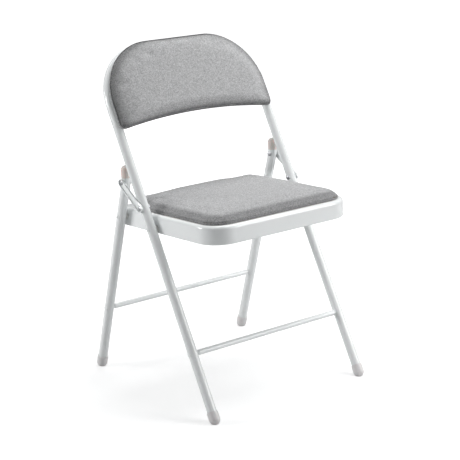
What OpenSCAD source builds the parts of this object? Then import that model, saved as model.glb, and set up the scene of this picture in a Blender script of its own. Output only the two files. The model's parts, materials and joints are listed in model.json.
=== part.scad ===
// Padded steel folding chair, drawn open and ready to sit on.
// Millimetres, +Z up, the floor at z = 0 and the front of the chair towards -Y.
// The origin is the middle of the chair's footprint. Left is -X, as seen from the front.

/* [Back frame] */
// Overall width across the outsides of the tubes
frame_w = 462; // [400:1:540]
// Length of the back frame from the floor to the outside of its top, along the tube
back_len = 896; // [800:1:1000]
// Lean of the back frame from upright
frame_lean = 30.2; // [27:0.1:33]
// Bend radius of the two top corners, to the tube axis
corner_r = 129; // [80:1:160]
// Outside diameter of the frame and leg tubes
tube_d = 22; // [19:0.5:25]
// Wall of the frame and leg tubes
tube_wall = 1.2; // [0.8:0.1:2]

/* [Rear legs] */
// Distance between the front and rear feet, axis to axis on the floor
foot_spread = 450; // [400:1:500]
// Length of the leg tube above the upper link pivot
leg_end = 10.5; // [10:0.5:24]
// Radius of the bend that turns that end back, away from the frame
kick_r = 56; // [35:1:70]

/* [Folding linkage] */
// Height of the seat pivot on the back frame
seat_pivot_h = 395; // [380:1:410]
// Height of the leg pivot on the seat
leg_pivot_h = 400; // [392:1:404]
// Height of the upper link pivot on the rear leg
link_pin_h = 487; // [478:1:490]
// Level distance of that pivot behind the frame's axis
link_pin_back = 43.9; // [43:0.1:48]
// Gap left between the frame and leg tubes when folded
fold_clear = 3.5; // [3:0.1:8]
// Width of the pressed link
link_w = 17.5; // [17:0.5:24]
// Sheet thickness of the link
link_t = 1.5; // [1.5:0.1:3]
// Height of the rim that is turned up round the link
link_rim = 3; // [2.5:0.1:5]
// Diameter of the pivot rivets
rivet_d = 7; // [5:0.5:9]

/* [Crossbars] */
// Diameter of the front crossbar
front_bar_d = 12.5; // [11:0.5:16]
// Height of the front crossbar
front_bar_h = 140.9; // [80:1:220]
// Diameter of the rear crossbar
rear_bar_d = 12; // [11:0.5:16]
// Height of the rear crossbar
rear_bar_h = 160.3; // [80:1:220]
// Wall of the crossbars
bar_wall = 1; // [0.8:0.1:1.5]
// Diameter of the reduced ends that pass through the legs
spigot_d = 8; // [6:0.5:9]

/* [Feet and plugs] */
// Wall of a foot cap
cap_wall = 2; // [1.5:0.1:3]
// Length of a foot cap along its tube
cap_len = 29; // [24:1:45]
// Height of the centre of the rounded foot above the floor
cap_centre_h = 9.4; // [7:0.1:11]
// Height of the dome of a leg plug
plug_dome = 11; // [6:0.5:11]
// Length of the straight part of a leg plug outside the tube
plug_neck = 18; // [6:1:18]

/* [Seat pan] */
// Gap on each side between the seat pan and the tubes
side_gap = 3; // [3:0.5:9]
// Distance of the pan's rear edge behind the leg pivot
pan_rear = 34; // [20:0.5:40]
// Height of the pan's skirt
pan_h = 42; // [34:1:46]
// Distance of the pan's front edge from the seat pivot
pan_front = 210.3; // [190:0.1:212]
// Height of the seat pivot above the bottom of the skirt
pivot_rise = 10.5; // [8:0.1:11]
// Slope of the seat down towards the back
seat_tilt = 4; // [1:0.1:6]
// Plan radius of the front corners
pan_front_r = 59; // [50:1:90]
// Plan radius of the rear corners, in front of which the leg pivot lies
pan_rear_r = 15; // [14.5:0.5:15]
// Sheet thickness of the pan
pan_t = 1.2; // [0.8:0.1:1.6]
// Rounding between skirt and top
shoulder_r = 8; // [5:0.5:9]
// Width of the hem that is turned in at the bottom of the skirt
hem_w = 7; // [5:0.5:10]

/* [Seat upholstery] */
// Distance of the cushion's edge from the edge of the pan
seat_inset = 10; // [8:0.5:14]
// Thickness of the plywood seat board
seat_board_t = 4; // [3:0.5:6]
// Thickness of the seat cushion
seat_pad_t = 21; // [16:1:34]
// Slope of the cushion's side, measured along the seat
seat_pad_slope = 14; // [6:1:20]
// Plan radius of the cushion's rear corners
seat_rear_r = 60; // [40:1:80]

/* [Backrest] */
// Distance of the backrest's sides from the outside of the back frame
back_inset = 6; // [4:0.5:9]
// Height of the backrest, measured along the frame
back_h = 196; // [150:1:240]
// Rise of the arched lower edge
back_arch = 14; // [6:1:26]
// Radius of the lower corners
back_low_r = 14; // [9:1:20]
// Thickness of the backrest board
back_board_t = 6; // [4:0.5:9]
// Thickness of the backrest cushion
back_pad_t = 20; // [14:1:28]

/* [Hidden] */
$fn = 64;

// Clearances
slip = 0.05;       // radial play of a pin in its hole
face_gap = 0.1;    // play between flat faces that turn on each other
seat_gap = 0.02;   // hollowed heads and rings to the tube they sit on
soft_gap = 0.3;    // upholstery to its neighbours
link_gap = 0.4;    // link to the sides of the tubes
cut = 1;           // how far a cutting shape runs past the work

// Tubes
tube_r = tube_d / 2;
axis_x = frame_w / 2 - tube_r;          // tube axes of the frame and of the rear legs
tube_in = axis_x - tube_r;              // inner sides of the tubes
tube_out = axis_x + tube_r;             // outer sides of the tubes
top_s = back_len - tube_r;              // axis of the top of the frame, along the frame
cap_d = tube_d + 2 * cap_wall;          // outside diameter of the foot caps
fold_gap = tube_d + fold_clear;         // axes of frame and leg when folded
tube_start = 14;                        // where the tubes begin inside the foot caps

// The upper link pivot, as [y, z] from the front feet. The legs lean so that they reach it.
link_pin = [link_pin_h * tan(frame_lean) + link_pin_back, link_pin_h];
leg_lean = atan2(foot_spread - link_pin[0], link_pin_h);

// Footprint: both feet have the same rounded cap, so the origin lies midway between them
origin_y = (foot_spread + (tan(frame_lean) - tan(leg_lean)) * cap_centre_h) / 2;

// Folding linkage, as [y, z] points measured from the front feet
along_frame = [sin(frame_lean), cos(frame_lean)];
behind_frame = [cos(frame_lean), -sin(frame_lean)];
function on_frame(h) = [h * tan(frame_lean), h];
function on_leg(h) = [foot_spread - h * tan(leg_lean), h];
seat_pivot = on_frame(seat_pivot_h);
leg_pivot = on_leg(leg_pivot_h);
seat_arm = norm(leg_pivot - seat_pivot);
leg_arm = norm(link_pin - leg_pivot);
// Folded, the leg lies fold_gap behind the frame. This places the lower end of the link so
// that the four pivots close both open and folded.
pin_s = link_pin * along_frame;
pin_n = link_pin * behind_frame;
folded_pin_base = seat_pivot * along_frame + leg_arm - sqrt(seat_arm ^ 2 - fold_gap ^ 2);
link_pivot_s = (pin_s ^ 2 + pin_n ^ 2 - fold_gap ^ 2 - folded_pin_base ^ 2)
  / (2 * (pin_s - folded_pin_base));
link_pivot = link_pivot_s * along_frame;
link_len = norm(link_pin - link_pivot);
link_angle = atan2(link_pin[1] - link_pivot[1], link_pin[0] - link_pivot[0]);

// The same linkage folded: how far seat, leg and link have turned
function angle_of(v) = atan2(v[1], v[0]);
folded_seat_arm = fold_gap * behind_frame - sqrt(seat_arm ^ 2 - fold_gap ^ 2) * along_frame;
folded_link = fold_gap * behind_frame - sqrt(link_len ^ 2 - fold_gap ^ 2) * along_frame;
seat_turn = angle_of(leg_pivot - seat_pivot) - angle_of(folded_seat_arm);
leg_turn = seat_turn - frame_lean - leg_lean;
link_turn = link_angle - angle_of(folded_link);
echo(seat_turn=seat_turn, leg_ratio=leg_turn / seat_turn, link_ratio=link_turn / seat_turn);
echo(seat_pivot=[0, seat_pivot[0] - origin_y, seat_pivot[1]]);
echo(leg_pivot=[0, leg_pivot[0] - origin_y, leg_pivot[1]]);
echo(link_pivot=[0, link_pivot[0] - origin_y, link_pivot[1]]);

// Places along the tubes
seat_pivot_s = norm(seat_pivot);
front_bar_s = front_bar_h / cos(frame_lean);
leg_pivot_s = leg_pivot_h / cos(leg_lean);
link_pin_s = link_pin_h / cos(leg_lean);
rear_bar_s = rear_bar_h / cos(leg_lean);

// The end of each leg is bent back by 7 in 24, a slope whose sine and cosine are exact
kick_dir = [0.96, 0.28];
leg_kick = atan2(kick_dir[1], kick_dir[0]);
kick_half = kick_r / 7;                             // tangent length of that bend

// Room for a leg plug before its edge would meet the back frame
kicked = frame_lean + leg_lean - leg_kick;          // angle between plug and frame
plug_room = (link_pin_back * cos(frame_lean) - tube_r * (1 + cos(kicked)) - 1) / sin(kicked)
  - leg_end;
plug_h = min(plug_neck, plug_room);

// Rivets
rivet_r = rivet_d / 2;
head_r = rivet_r + 2.5;
head_h = 2;
head_edge = 0.3;                                    // straight edge under a head's dome
rivet_bore = 4;                                     // depth of a rolled rivet end
flush_head_r = rivet_r + 1.2;                       // low heads that the link passes
flush_head_h = 0.8;

// Link
link_in = tube_out + link_gap;                      // inner face of the link
link_face = link_in + link_t;                       // floor of its tray

// Seat pan, in the seat's own frame: origin on the seat pivot, +Y along the seat
pan_x = tube_in - side_gap;
pan_bottom = -pivot_rise;
pan_top = pan_bottom + pan_h;
leg_hole = rotate_2d(leg_pivot - seat_pivot, seat_tilt);
pan_y0 = -pan_front;
pan_y1 = round(10 * (leg_hole[0] + pan_rear)) / 10; // to a tenth of a millimetre
pan_len = pan_y1 - pan_y0;
hem_r = 3;                                          // rounding of the bottom edge
rim_depth = 14;                                     // how far the bent rim reaches in
seat_screw_x = pan_x - 84;
seat_screw_y = [pan_y0 + 76, pan_y1 - 71];
bead_len = pan_len - 117;                           // stiffening beads in the pan's top
bead_r = 7;
bead_x = 62;

// Backrest, in the frame's own frame: +Z along the tubes, -Y to the front
back_top = back_len - back_inset / 2;
back_bottom = back_top - back_h;
back_x = frame_w / 2 - back_inset;
back_r = corner_r + tube_r - back_inset;
board_y = -tube_r - face_gap;                       // rear face of the board
tab_t = 2;
tab_w = 20;
tab_reach = 20;                                     // tab beyond the side of the tube
tab_hole = 10;                                      // screw from the side of the tube
side_tab_s = back_bottom + 34;
top_tab_x = 76;

function rotate_2d(v, a) = [v[0] * cos(a) - v[1] * sin(a), v[0] * sin(a) + v[1] * cos(a)];

// ---- Frames of reference ----

// Along the back frame: +Z up the tubes, +Y out of its rear side
module in_frame() {
  translate([0, -origin_y, 0]) rotate([-frame_lean, 0, 0]) children();
}

// Along the rear legs: +Z up the legs, +Y out of their rear side
module in_leg() {
  translate([0, foot_spread - origin_y, 0]) rotate([leg_lean, 0, 0]) children();
}

// Along the seat: +Y to the rear, +Z out of its top, origin on the seat pivot
module in_seat() {
  translate([0, seat_pivot[0] - origin_y, seat_pivot[1]]) rotate([-seat_tilt, 0, 0]) children();
}

// Along the link: +Y from its lower to its upper pivot, origin on the lower one
module in_link() {
  translate([0, link_pivot[0] - origin_y, link_pivot[1]]) rotate([link_angle, 0, 0]) children();
}

// The right side is drawn and the left is its mirror image
module on_side(side) {
  mirror([side < 0 ? 1 : 0, 0, 0]) children();
}

module both_sides() {
  for (side = [-1, 1]) on_side(side) children();
}

// ---- Shared shapes ----

// Round bar along X between two places
module bar_x(x0, x1, r) {
  translate([x0, 0, 0]) rotate([0, 90, 0]) cylinder(r = r, h = x1 - x0);
}

// Flat plate across X, from an outline in Y and Z
module plate_x(x0, t) {
  translate([x0, 0, 0]) rotate([90, 0, 90]) linear_extrude(t) children();
}

// Domed rivet or screw head on the plane z = 0, with a straight edge below it if asked
module dome_head(r, h, edge = 0) {
  ball_r = (r ^ 2 + h ^ 2) / (2 * h);
  rotate_extrude() {
    intersection() {
      translate([0, h - ball_r]) circle(r = ball_r);
      square([r, h]);
    }
    if (edge > 0) translate([0, -edge]) square([r, edge]);
  }
}

// Domed head on the end of a pin along X, pointing out of the side given by dir
module dome_x(x, r, h, dir) {
  translate([x, 0, 0]) rotate([0, 90 * dir, 0]) dome_head(r, h);
}

// Head that sits saddle-wise on the side of a tube: its straight edge is cut to the tube
module saddle_head(r, h, dir) {
  saddle_depth = tube_r - sqrt(tube_r ^ 2 - r ^ 2) + 0.2;
  difference() {
    translate([axis_x + dir * (tube_r + head_edge), 0, 0]) rotate([0, 90 * dir, 0])
      dome_head(r, h - head_edge, head_edge + saddle_depth);
    translate([axis_x, 0, -2 * head_r]) cylinder(r = tube_r + seat_gap, h = 4 * head_r);
  }
}

// Outline of the link: a strip with round ends
module strip_outline(r, length) {
  circle(r = r);
  translate([length, 0]) circle(r = r);
  translate([0, -r]) square([length, 2 * r]);
}

// Rounded plan of the seat, smaller than the pan by inset
module seat_plan(inset, front_r, rear_r) {
  x = pan_x - inset;
  y0 = pan_y0 + inset;
  y1 = pan_y1 - inset;
  translate([-x, y0 + front_r]) square([2 * x, y1 - y0 - front_r - rear_r]);
  translate([-(x - front_r), y0]) square([2 * (x - front_r), front_r]);
  translate([-(x - rear_r), y1 - rear_r]) square([2 * (x - rear_r), rear_r]);
  for (side = [-1, 1]) {
    translate([side * (x - front_r), y0 + front_r]) circle(r = front_r);
    translate([side * (x - rear_r), y1 - rear_r]) circle(r = rear_r);
  }
}

// D-shaped outline of the backrest with its arched lower edge, smaller by inset
module back_outline(inset) {
  x = back_x - inset;
  top = back_top - inset;
  low = back_bottom + inset;
  r = back_r - inset;
  low_r = back_low_r - inset / 2;
  chord = 2 * (x - low_r - 2);                      // the arch ends just inside the corners
  arch_r = (chord ^ 2 / 4 + back_arch ^ 2) / (2 * back_arch);
  difference() {
    union() {
      translate([-x, low + low_r]) square([2 * x, top - r - low - low_r]);
      translate([-(x - r), top - r]) square([2 * (x - r), r]);
      translate([-(x - low_r), low]) square([2 * (x - low_r), low_r]);
      for (side = [-1, 1]) {
        translate([side * (x - r), top - r]) circle(r = r);
        translate([side * (x - low_r), low + low_r]) circle(r = low_r);
      }
    }
    translate([0, low + back_arch - arch_r]) circle(r = arch_r, $fn = 360);
  }
}

// ---- Back frame ----

// Solid of the bent frame tube with radius r, run past its open ends by extra
module frame_bend(r, extra) {
  straight = top_s - corner_r;
  both_sides() {
    translate([axis_x, 0, tube_start - extra]) cylinder(r = r, h = straight - tube_start + extra);
    translate([axis_x - corner_r, 0, straight]) rotate([90, 0, 0])
      rotate_extrude(angle = 90) translate([corner_r, 0]) circle(r = r);
  }
  translate([0, 0, top_s]) bar_x(-(axis_x - corner_r), axis_x - corner_r, r);
}

module back_frame_tube() {
  color([0.93, 0.94, 0.94]) in_frame() difference() {
    frame_bend(tube_r, 0);
    frame_bend(tube_r - tube_wall, cut);
    both_sides() {
      for (s = [seat_pivot_s, link_pivot_s])
        translate([0, 0, s]) bar_x(tube_in - cut, tube_out + cut, rivet_r + slip);
      translate([0, 0, front_bar_s]) bar_x(tube_in - cut, tube_out + cut, spigot_d / 2 + slip);
    }
  }
}

// Crossbar between two legs: a tube drawn down to spigots that are peened outside the legs
module crossbar(d) {
  neck = 3.5;                                       // taper from tube to spigot
  shoulder = tube_in - 1;
  r = d / 2;
  spigot_r = spigot_d / 2;
  difference() {
    union() {
      bar_x(-(shoulder - neck), shoulder - neck, r);
      both_sides() {
        translate([shoulder - neck, 0, 0]) rotate([0, 90, 0])
          cylinder(r1 = r, r2 = spigot_r, h = neck);
        bar_x(shoulder, tube_out + head_edge, spigot_r);
        saddle_head(spigot_r + 1.4, 1.2, 1);
      }
    }
    bar_x(-(shoulder - neck - 6), shoulder - neck - 6, r - bar_wall);
  }
}

module front_crossbar() {
  color([0.93, 0.94, 0.94]) in_frame() translate([0, 0, front_bar_s]) crossbar(front_bar_d);
}

// Moulded cap on the end of a leg: round below, with a flat sole cut parallel to the floor
module foot_cap(side, foot_y, tilt) {
  centre_s = cap_centre_h / cos(tilt);
  r = cap_d / 2;
  translate([side * axis_x, foot_y - origin_y, 0]) difference() {
    intersection() {
      rotate([tilt, 0, 0]) translate([0, 0, centre_s]) rotate_extrude() intersection() {
        union() {
          circle(r = r);
          translate([-r, 0]) square([2 * r, cap_len - centre_s - 1.5]);
          translate([-(r - 1), 0]) square([2 * (r - 1), cap_len - centre_s]);
        }
        translate([0, -r]) square([r, r + cap_len]);
      }
      translate([-cap_d, -cap_d, 0]) cube([2 * cap_d, 2 * cap_d, 2 * cap_len]);
    }
    rotate([tilt, 0, 0]) translate([0, 0, tube_start]) cylinder(r = tube_r + slip, h = cap_len);
  }
}

module front_foot_cap(side) {
  color([0.82, 0.80, 0.79]) foot_cap(side, 0, -frame_lean);
}

module rear_foot_cap(side) {
  color([0.82, 0.80, 0.79]) foot_cap(side, foot_spread, leg_lean);
}

// Ring between the seat pan and a tube, hollowed on its outer end to sit on the tube
module spacer(r) {
  difference() {
    bar_x(pan_x + face_gap, tube_in + 3, r);
    bar_x(pan_x - cut, tube_out, rivet_r + slip);
    translate([axis_x, 0, -tube_d]) cylinder(r = tube_r + seat_gap, h = 2 * tube_d);
  }
}

// Rivet that carries the seat pan on a tube: head inside the pan, and outside the tube a low
// rolled end, hollow in the middle
module pan_rivet() {
  pan_inside = pan_x - pan_t - face_gap;
  difference() {
    union() {
      dome_x(pan_inside, head_r, head_h, -1);
      bar_x(pan_inside, tube_out + head_edge, rivet_r);
      saddle_head(flush_head_r, flush_head_h, 1);
    }
    bar_x(tube_out - rivet_bore, tube_out + head_h, rivet_r / 2);
  }
}

module seat_pivot_rivets() {
  color([0.75, 0.76, 0.77]) in_frame() translate([0, 0, seat_pivot_s]) both_sides() pan_rivet();
}

module seat_pivot_spacers() {
  color([0.85, 0.85, 0.83]) in_frame() translate([0, 0, seat_pivot_s]) both_sides() spacer(8);
}

// Rivet of the link's lower pivot: head on the inner side of the tube, head in the link's tray
module link_pivot_rivets() {
  color([0.75, 0.76, 0.77]) in_frame() translate([0, 0, link_pivot_s]) both_sides() {
    saddle_head(head_r, head_h, -1);
    bar_x(tube_in - head_edge, link_face + face_gap, rivet_r);
    dome_x(link_face + face_gap, head_r, head_h, 1);
  }
}

// ---- Backrest ----

// Lay out the four screwed fixings of the backrest: two on the sides, two on the top tube.
// Children are drawn with the tube's side at x = 0, +X away from it.
module at_backrest_fixings() {
  for (side = [-1, 1]) {
    on_side(side) translate([tube_in, 0, side_tab_s]) rotate([0, 180, 0]) children();
    translate([side * top_tab_x, 0, top_s - tube_r]) rotate([0, 90, 0]) children();
  }
}

// Tabs welded on the tube's front shoulder, with a round end
module backrest_tabs() {
  weld_in = tube_r - 4;
  color([0.93, 0.94, 0.94]) in_frame() at_backrest_fixings() difference() {
    translate([0, -tube_r + tab_t, 0]) rotate([90, 0, 0]) linear_extrude(tab_t) {
      translate([-weld_in, -tab_w / 2]) square([weld_in + tab_reach - tab_w / 2, tab_w]);
      translate([tab_reach - tab_w / 2, 0]) circle(d = tab_w);
    }
    translate([-tube_r, 0, -tab_w]) cylinder(r = tube_r, h = 2 * tab_w);
    translate([tab_hole, 0, 0]) rotate([90, 0, 0]) cylinder(r = 2 + slip, h = tube_r + cut);
  }
}

// Pan-head screws from behind, through the tabs into the board
module backrest_screws() {
  grip = 5;
  color([0.70, 0.71, 0.72]) in_frame() at_backrest_fixings()
    translate([tab_hole, -tube_r + tab_t, 0]) {
      rotate([-90, 0, 0]) dome_head(4, 2.2);
      rotate([90, 0, 0]) cylinder(r = 2, h = tab_t + grip);
    }
}

module backrest_board() {
  color([0.58, 0.58, 0.59]) in_frame() difference() {
    translate([0, board_y, 0]) rotate([90, 0, 0]) linear_extrude(back_board_t) back_outline(0);
    at_backrest_fixings() translate([tab_hole, 0, 0]) rotate([90, 0, 0])
      cylinder(r = 2 + slip, h = tube_r + 5.2);
  }
}

// Foam and cover in two steps, the front one smaller
module backrest_cushion() {
  band = 0.6 * back_pad_t;
  color([0.66, 0.66, 0.67]) in_frame() translate([0, board_y - back_board_t - soft_gap, 0])
    rotate([90, 0, 0]) {
      linear_extrude(band) back_outline(0.5);
      translate([0, 0, band - 1]) linear_extrude(back_pad_t - band + 1) back_outline(9);
    }
}

// ---- Seat ----

// Section filled by the pressed rim, less inset all round: x = 0 is the outside of the skirt
module rim_section(inset, reach) {
  top_r = shoulder_r - inset;
  low_r = hem_r - inset;
  y0 = pan_bottom + inset;
  y1 = pan_top - inset;
  translate([-reach, y0]) square([reach - inset - top_r, y1 - y0]);
  translate([-inset - top_r - 1, y0 + low_r]) square([top_r + 1, y1 - y0 - low_r - top_r]);
  translate([-inset - top_r, y1 - top_r]) intersection() {
    circle(r = top_r);
    square(top_r);
  }
  translate([-inset - top_r - 1, y0]) square([top_r + 1 - low_r, low_r + 0.1]);
  translate([-inset - low_r, y0 + low_r]) circle(r = low_r);
}

module rim_profile() {
  difference() {
    rim_section(0, rim_depth);
    rim_section(pan_t, rim_depth + cut);
    translate([-rim_depth - cut, pan_bottom - cut])
      square([rim_depth + cut - hem_w, pan_t + 2 * cut]);
  }
}

// The rim's section carried round the pan: four straight runs and four corners
module pan_rim() {
  x = pan_x;
  runs = [
    [0, [x, pan_y1 - pan_rear_r], pan_len - pan_front_r - pan_rear_r],
    [90, [-(x - pan_rear_r), pan_y1], 2 * (x - pan_rear_r)],
    [180, [-x, pan_y0 + pan_front_r], pan_len - pan_front_r - pan_rear_r],
    [-90, [x - pan_front_r, pan_y0], 2 * (x - pan_front_r)]
  ];
  for (run = runs)
    translate([run[1][0], run[1][1], 0]) rotate([90, 0, run[0]])
      linear_extrude(run[2]) rim_profile();
  corners = [
    [0, [x - pan_rear_r, pan_y1 - pan_rear_r], pan_rear_r],
    [90, [-(x - pan_rear_r), pan_y1 - pan_rear_r], pan_rear_r],
    [180, [-(x - pan_front_r), pan_y0 + pan_front_r], pan_front_r],
    [-90, [x - pan_front_r, pan_y0 + pan_front_r], pan_front_r]
  ];
  for (corner = corners)
    translate([corner[1][0], corner[1][1], 0]) rotate([0, 0, corner[0]])
      rotate_extrude(angle = 90) translate([corner[2], 0]) rim_profile();
}

// Long bead pressed down into the pan's top, rounded at its ends
module bead(r) {
  translate([0, -bead_len / 2, 0]) {
    rotate([-90, 0, 0]) cylinder(r = r, h = bead_len, $fn = 32);
    sphere(r = r, $fn = 32);
  }
  translate([0, bead_len / 2, 0]) sphere(r = r, $fn = 32);
}

module at_beads() {
  bead_rise = 4.5;                                  // bead axis above the pan's top
  middle_y = (pan_y0 + pan_y1) / 2;
  for (x = [-bead_x, bead_x]) translate([x, middle_y, pan_top + bead_rise]) children();
}

module at_seat_screws() {
  for (x = [-seat_screw_x, seat_screw_x], y = seat_screw_y)
    translate([x, y, pan_top - pan_t]) children();
}

module seat_pan() {
  plate_inset = rim_depth - 2;
  color([0.93, 0.94, 0.94]) in_seat() difference() {
    union() {
      pan_rim();
      translate([0, 0, pan_top - pan_t]) linear_extrude(pan_t)
        seat_plan(plate_inset, pan_front_r - plate_inset, pan_rear_r - plate_inset);
      intersection() {
        at_beads() bead(bead_r + pan_t);
        translate([-pan_x, pan_y0, pan_bottom]) cube([2 * pan_x, pan_len, pan_h]);
      }
    }
    at_beads() bead(bead_r);
    at_seat_screws() translate([0, 0, -cut]) cylinder(r = 2 + slip, h = pan_t + 2 * cut);
    both_sides() {
      bar_x(pan_x - 2 * pan_t, pan_x + cut, rivet_r + slip);
      translate([0, leg_hole[0], leg_hole[1]])
        bar_x(pan_x - 2 * pan_t, pan_x + cut, rivet_r + slip);
    }
  }
}

module seat_board() {
  board_inset = seat_inset + 2;
  color([0.72, 0.60, 0.44]) in_seat() difference() {
    translate([0, 0, pan_top + face_gap]) linear_extrude(seat_board_t)
      seat_plan(board_inset, pan_front_r - board_inset, seat_rear_r - 2);
    at_seat_screws() cylinder(r = 2 + slip, h = pan_t + 3.2);
  }
}

// Foam and cover in two steps, the upper one smaller
module seat_cushion() {
  base_z = pan_top + face_gap + seat_board_t + soft_gap;
  band = 0.55 * seat_pad_t;
  top_inset = seat_inset + seat_pad_slope;
  color([0.66, 0.66, 0.67]) in_seat() translate([0, 0, base_z]) {
    linear_extrude(band) seat_plan(seat_inset, pan_front_r - seat_inset, seat_rear_r);
    translate([0, 0, band - 1]) linear_extrude(seat_pad_t - band + 1)
      seat_plan(top_inset, pan_front_r - top_inset, seat_rear_r);
  }
}

module seat_screws() {
  grip = 3;
  color([0.70, 0.71, 0.72]) in_seat() at_seat_screws() {
    rotate([180, 0, 0]) dome_head(4, 2.2);
    cylinder(r = 2, h = pan_t + grip);
  }
}

// ---- Rear legs ----

// Solid of one leg with radius r, run past its ends by extra. Everything is laid out from the
// start of the bend, so that the three lengths of tube meet exactly.
module leg_bend(r, extra) {
  translate([axis_x, 0, link_pin_s - kick_half]) {
    rotate([180, 0, 0]) cylinder(r = r, h = link_pin_s - kick_half - tube_start + extra);
    translate([0, kick_r, 0]) {
      rotate([90, 0, -90]) intersection() {
        rotate_extrude() translate([kick_r, 0]) circle(r = r);
        translate([0, 0, -tube_d]) linear_extrude(2 * tube_d)
          polygon([[0, 0], [2 * kick_r * kick_dir[0], 0], 2 * kick_r * kick_dir]);
      }
      rotate([-leg_kick, 0, 0]) translate([0, -kick_r, 0])
        cylinder(r = r, h = leg_end - kick_half + extra);
    }
  }
}

module rear_leg(side) {
  color([0.93, 0.94, 0.94]) in_leg() on_side(side) difference() {
    leg_bend(tube_r, 0);
    leg_bend(tube_r - tube_wall, cut);
    for (s = [leg_pivot_s, link_pin_s])
      translate([0, 0, s]) bar_x(tube_in - cut, tube_out + cut, rivet_r + slip);
    translate([0, 0, rear_bar_s]) bar_x(tube_in - cut, tube_out + cut, spigot_d / 2 + slip);
  }
}

module rear_crossbar() {
  color([0.93, 0.94, 0.94]) in_leg() translate([0, 0, rear_bar_s]) crossbar(rear_bar_d);
}

// Soft plug in the open end of a leg: a stem in the tube, a straight neck and a dome
module leg_plug(side) {
  stem = leg_end - rivet_r - 1.5;                   // stops short of the link rivet
  color([0.80, 0.72, 0.67]) in_leg() on_side(side)
    translate([axis_x, 0, link_pin_s]) rotate([-leg_kick, 0, 0]) translate([0, 0, leg_end]) {
      translate([0, 0, -stem]) cylinder(r = tube_r - tube_wall - soft_gap, h = stem + 1);
      cylinder(r = tube_r, h = plug_h);
      translate([0, 0, plug_h]) dome_head(tube_r, min(plug_dome, tube_r));
    }
}

module leg_pivot_rivets() {
  color([0.75, 0.76, 0.77]) in_leg() translate([0, 0, leg_pivot_s]) both_sides() pan_rivet();
}

module leg_pivot_spacers() {
  color([0.85, 0.85, 0.83]) in_leg() translate([0, 0, leg_pivot_s]) both_sides() spacer(8);
}

// Inner part of the upper link rivet, which stays with the leg
module leg_top_rivets() {
  color([0.75, 0.76, 0.77]) in_leg() translate([0, 0, link_pin_s]) both_sides() {
    difference() {
      saddle_head(head_r, head_h, -1);
      translate([0, 0, -link_pin_s]) leg_bend(tube_r + seat_gap, 0);
    }
    bar_x(tube_in - head_edge, tube_out - face_gap, rivet_r);
  }
}

// ---- Links ----

// Pressed link: a flat floor against the tubes and a rim turned outwards all round
module link(side) {
  r = link_w / 2;
  color([0.93, 0.94, 0.94]) in_link() on_side(side) difference() {
    plate_x(link_in, link_t + link_rim) strip_outline(r, link_len);
    plate_x(link_face, link_rim + cut) strip_outline(r - 1.6, link_len);
    for (y = [0, link_len])
      translate([0, y, 0]) bar_x(link_in - cut, link_face + cut, rivet_r + slip);
  }
}

// Outer part of the upper link rivet, which stays with the link
module link_top_rivets() {
  color([0.75, 0.76, 0.77]) in_link() translate([0, link_len, 0]) both_sides() {
    bar_x(tube_out + soft_gap, link_face, rivet_r);
    dome_x(link_face, head_r, head_h, 1);
  }
}

back_frame_tube();
front_crossbar();
front_foot_cap(-1);  // front_foot_cap_left
front_foot_cap(1);  // front_foot_cap_right
seat_pivot_rivets();
seat_pivot_spacers();
link_pivot_rivets();
backrest_tabs();
backrest_screws();
backrest_board();
backrest_cushion();
seat_pan();
seat_board();
seat_cushion();
seat_screws();
rear_leg(-1);  // rear_leg_left
rear_leg(1);  // rear_leg_right
rear_crossbar();
rear_foot_cap(-1);  // rear_foot_cap_left
rear_foot_cap(1);  // rear_foot_cap_right
leg_plug(-1);  // leg_plug_left
leg_plug(1);  // leg_plug_right
leg_pivot_rivets();
leg_pivot_spacers();
leg_top_rivets();
link(-1);  // link_left
link(1);  // link_right
link_top_rivets();
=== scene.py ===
"""Looks of a padded steel folding chair, built around its packed CAD frame.

The file is laid out as an add-on: settings, one operator for each piece or group of like
pieces, one panel, and a main function that runs the operators in order.
"""

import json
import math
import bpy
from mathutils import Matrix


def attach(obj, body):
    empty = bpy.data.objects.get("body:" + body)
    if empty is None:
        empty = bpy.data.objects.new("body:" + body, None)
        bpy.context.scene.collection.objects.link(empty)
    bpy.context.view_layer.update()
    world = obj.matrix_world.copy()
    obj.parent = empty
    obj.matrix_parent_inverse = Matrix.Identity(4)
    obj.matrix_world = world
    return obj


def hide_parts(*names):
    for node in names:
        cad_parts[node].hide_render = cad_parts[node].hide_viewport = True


bl_info = {
    "name": "Padded Folding Chair",
    "version": (1, 0, 0),
    "blender": (4, 5, 0),
    "location": "3D View > Sidebar > Chair",
    "description": "Upholstery, finishes and studio for a padded steel folding chair",
    "category": "Object",
}

import bmesh
import bpy
from mathutils import Matrix, Vector

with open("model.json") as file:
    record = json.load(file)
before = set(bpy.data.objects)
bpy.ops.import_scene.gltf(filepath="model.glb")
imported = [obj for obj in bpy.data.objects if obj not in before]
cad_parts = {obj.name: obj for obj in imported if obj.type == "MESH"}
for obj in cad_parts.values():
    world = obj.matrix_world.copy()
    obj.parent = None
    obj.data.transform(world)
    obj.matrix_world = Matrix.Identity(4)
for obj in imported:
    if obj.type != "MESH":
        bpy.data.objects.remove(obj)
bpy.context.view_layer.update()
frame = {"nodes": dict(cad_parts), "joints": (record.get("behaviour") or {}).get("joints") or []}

MM = 0.001

# ---- Frames of the leaning parts, placed from the packed seat pivot ----

FRAME_LEAN = math.radians(30.2)  # back frame, from upright
SEAT_TILT = math.radians(4.0)  # seat, down toward the rear
SEAT_PIVOT = Vector(next(j for j in frame["joints"] if j["name"] == "seat_fold")["pos_m"])

# Along the seat: +Y to the rear, +Z out of its top, origin on the seat pivot
SEAT_FRAME = Matrix.Translation(SEAT_PIVOT) @ Matrix.Rotation(-SEAT_TILT, 4, "X")

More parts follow.
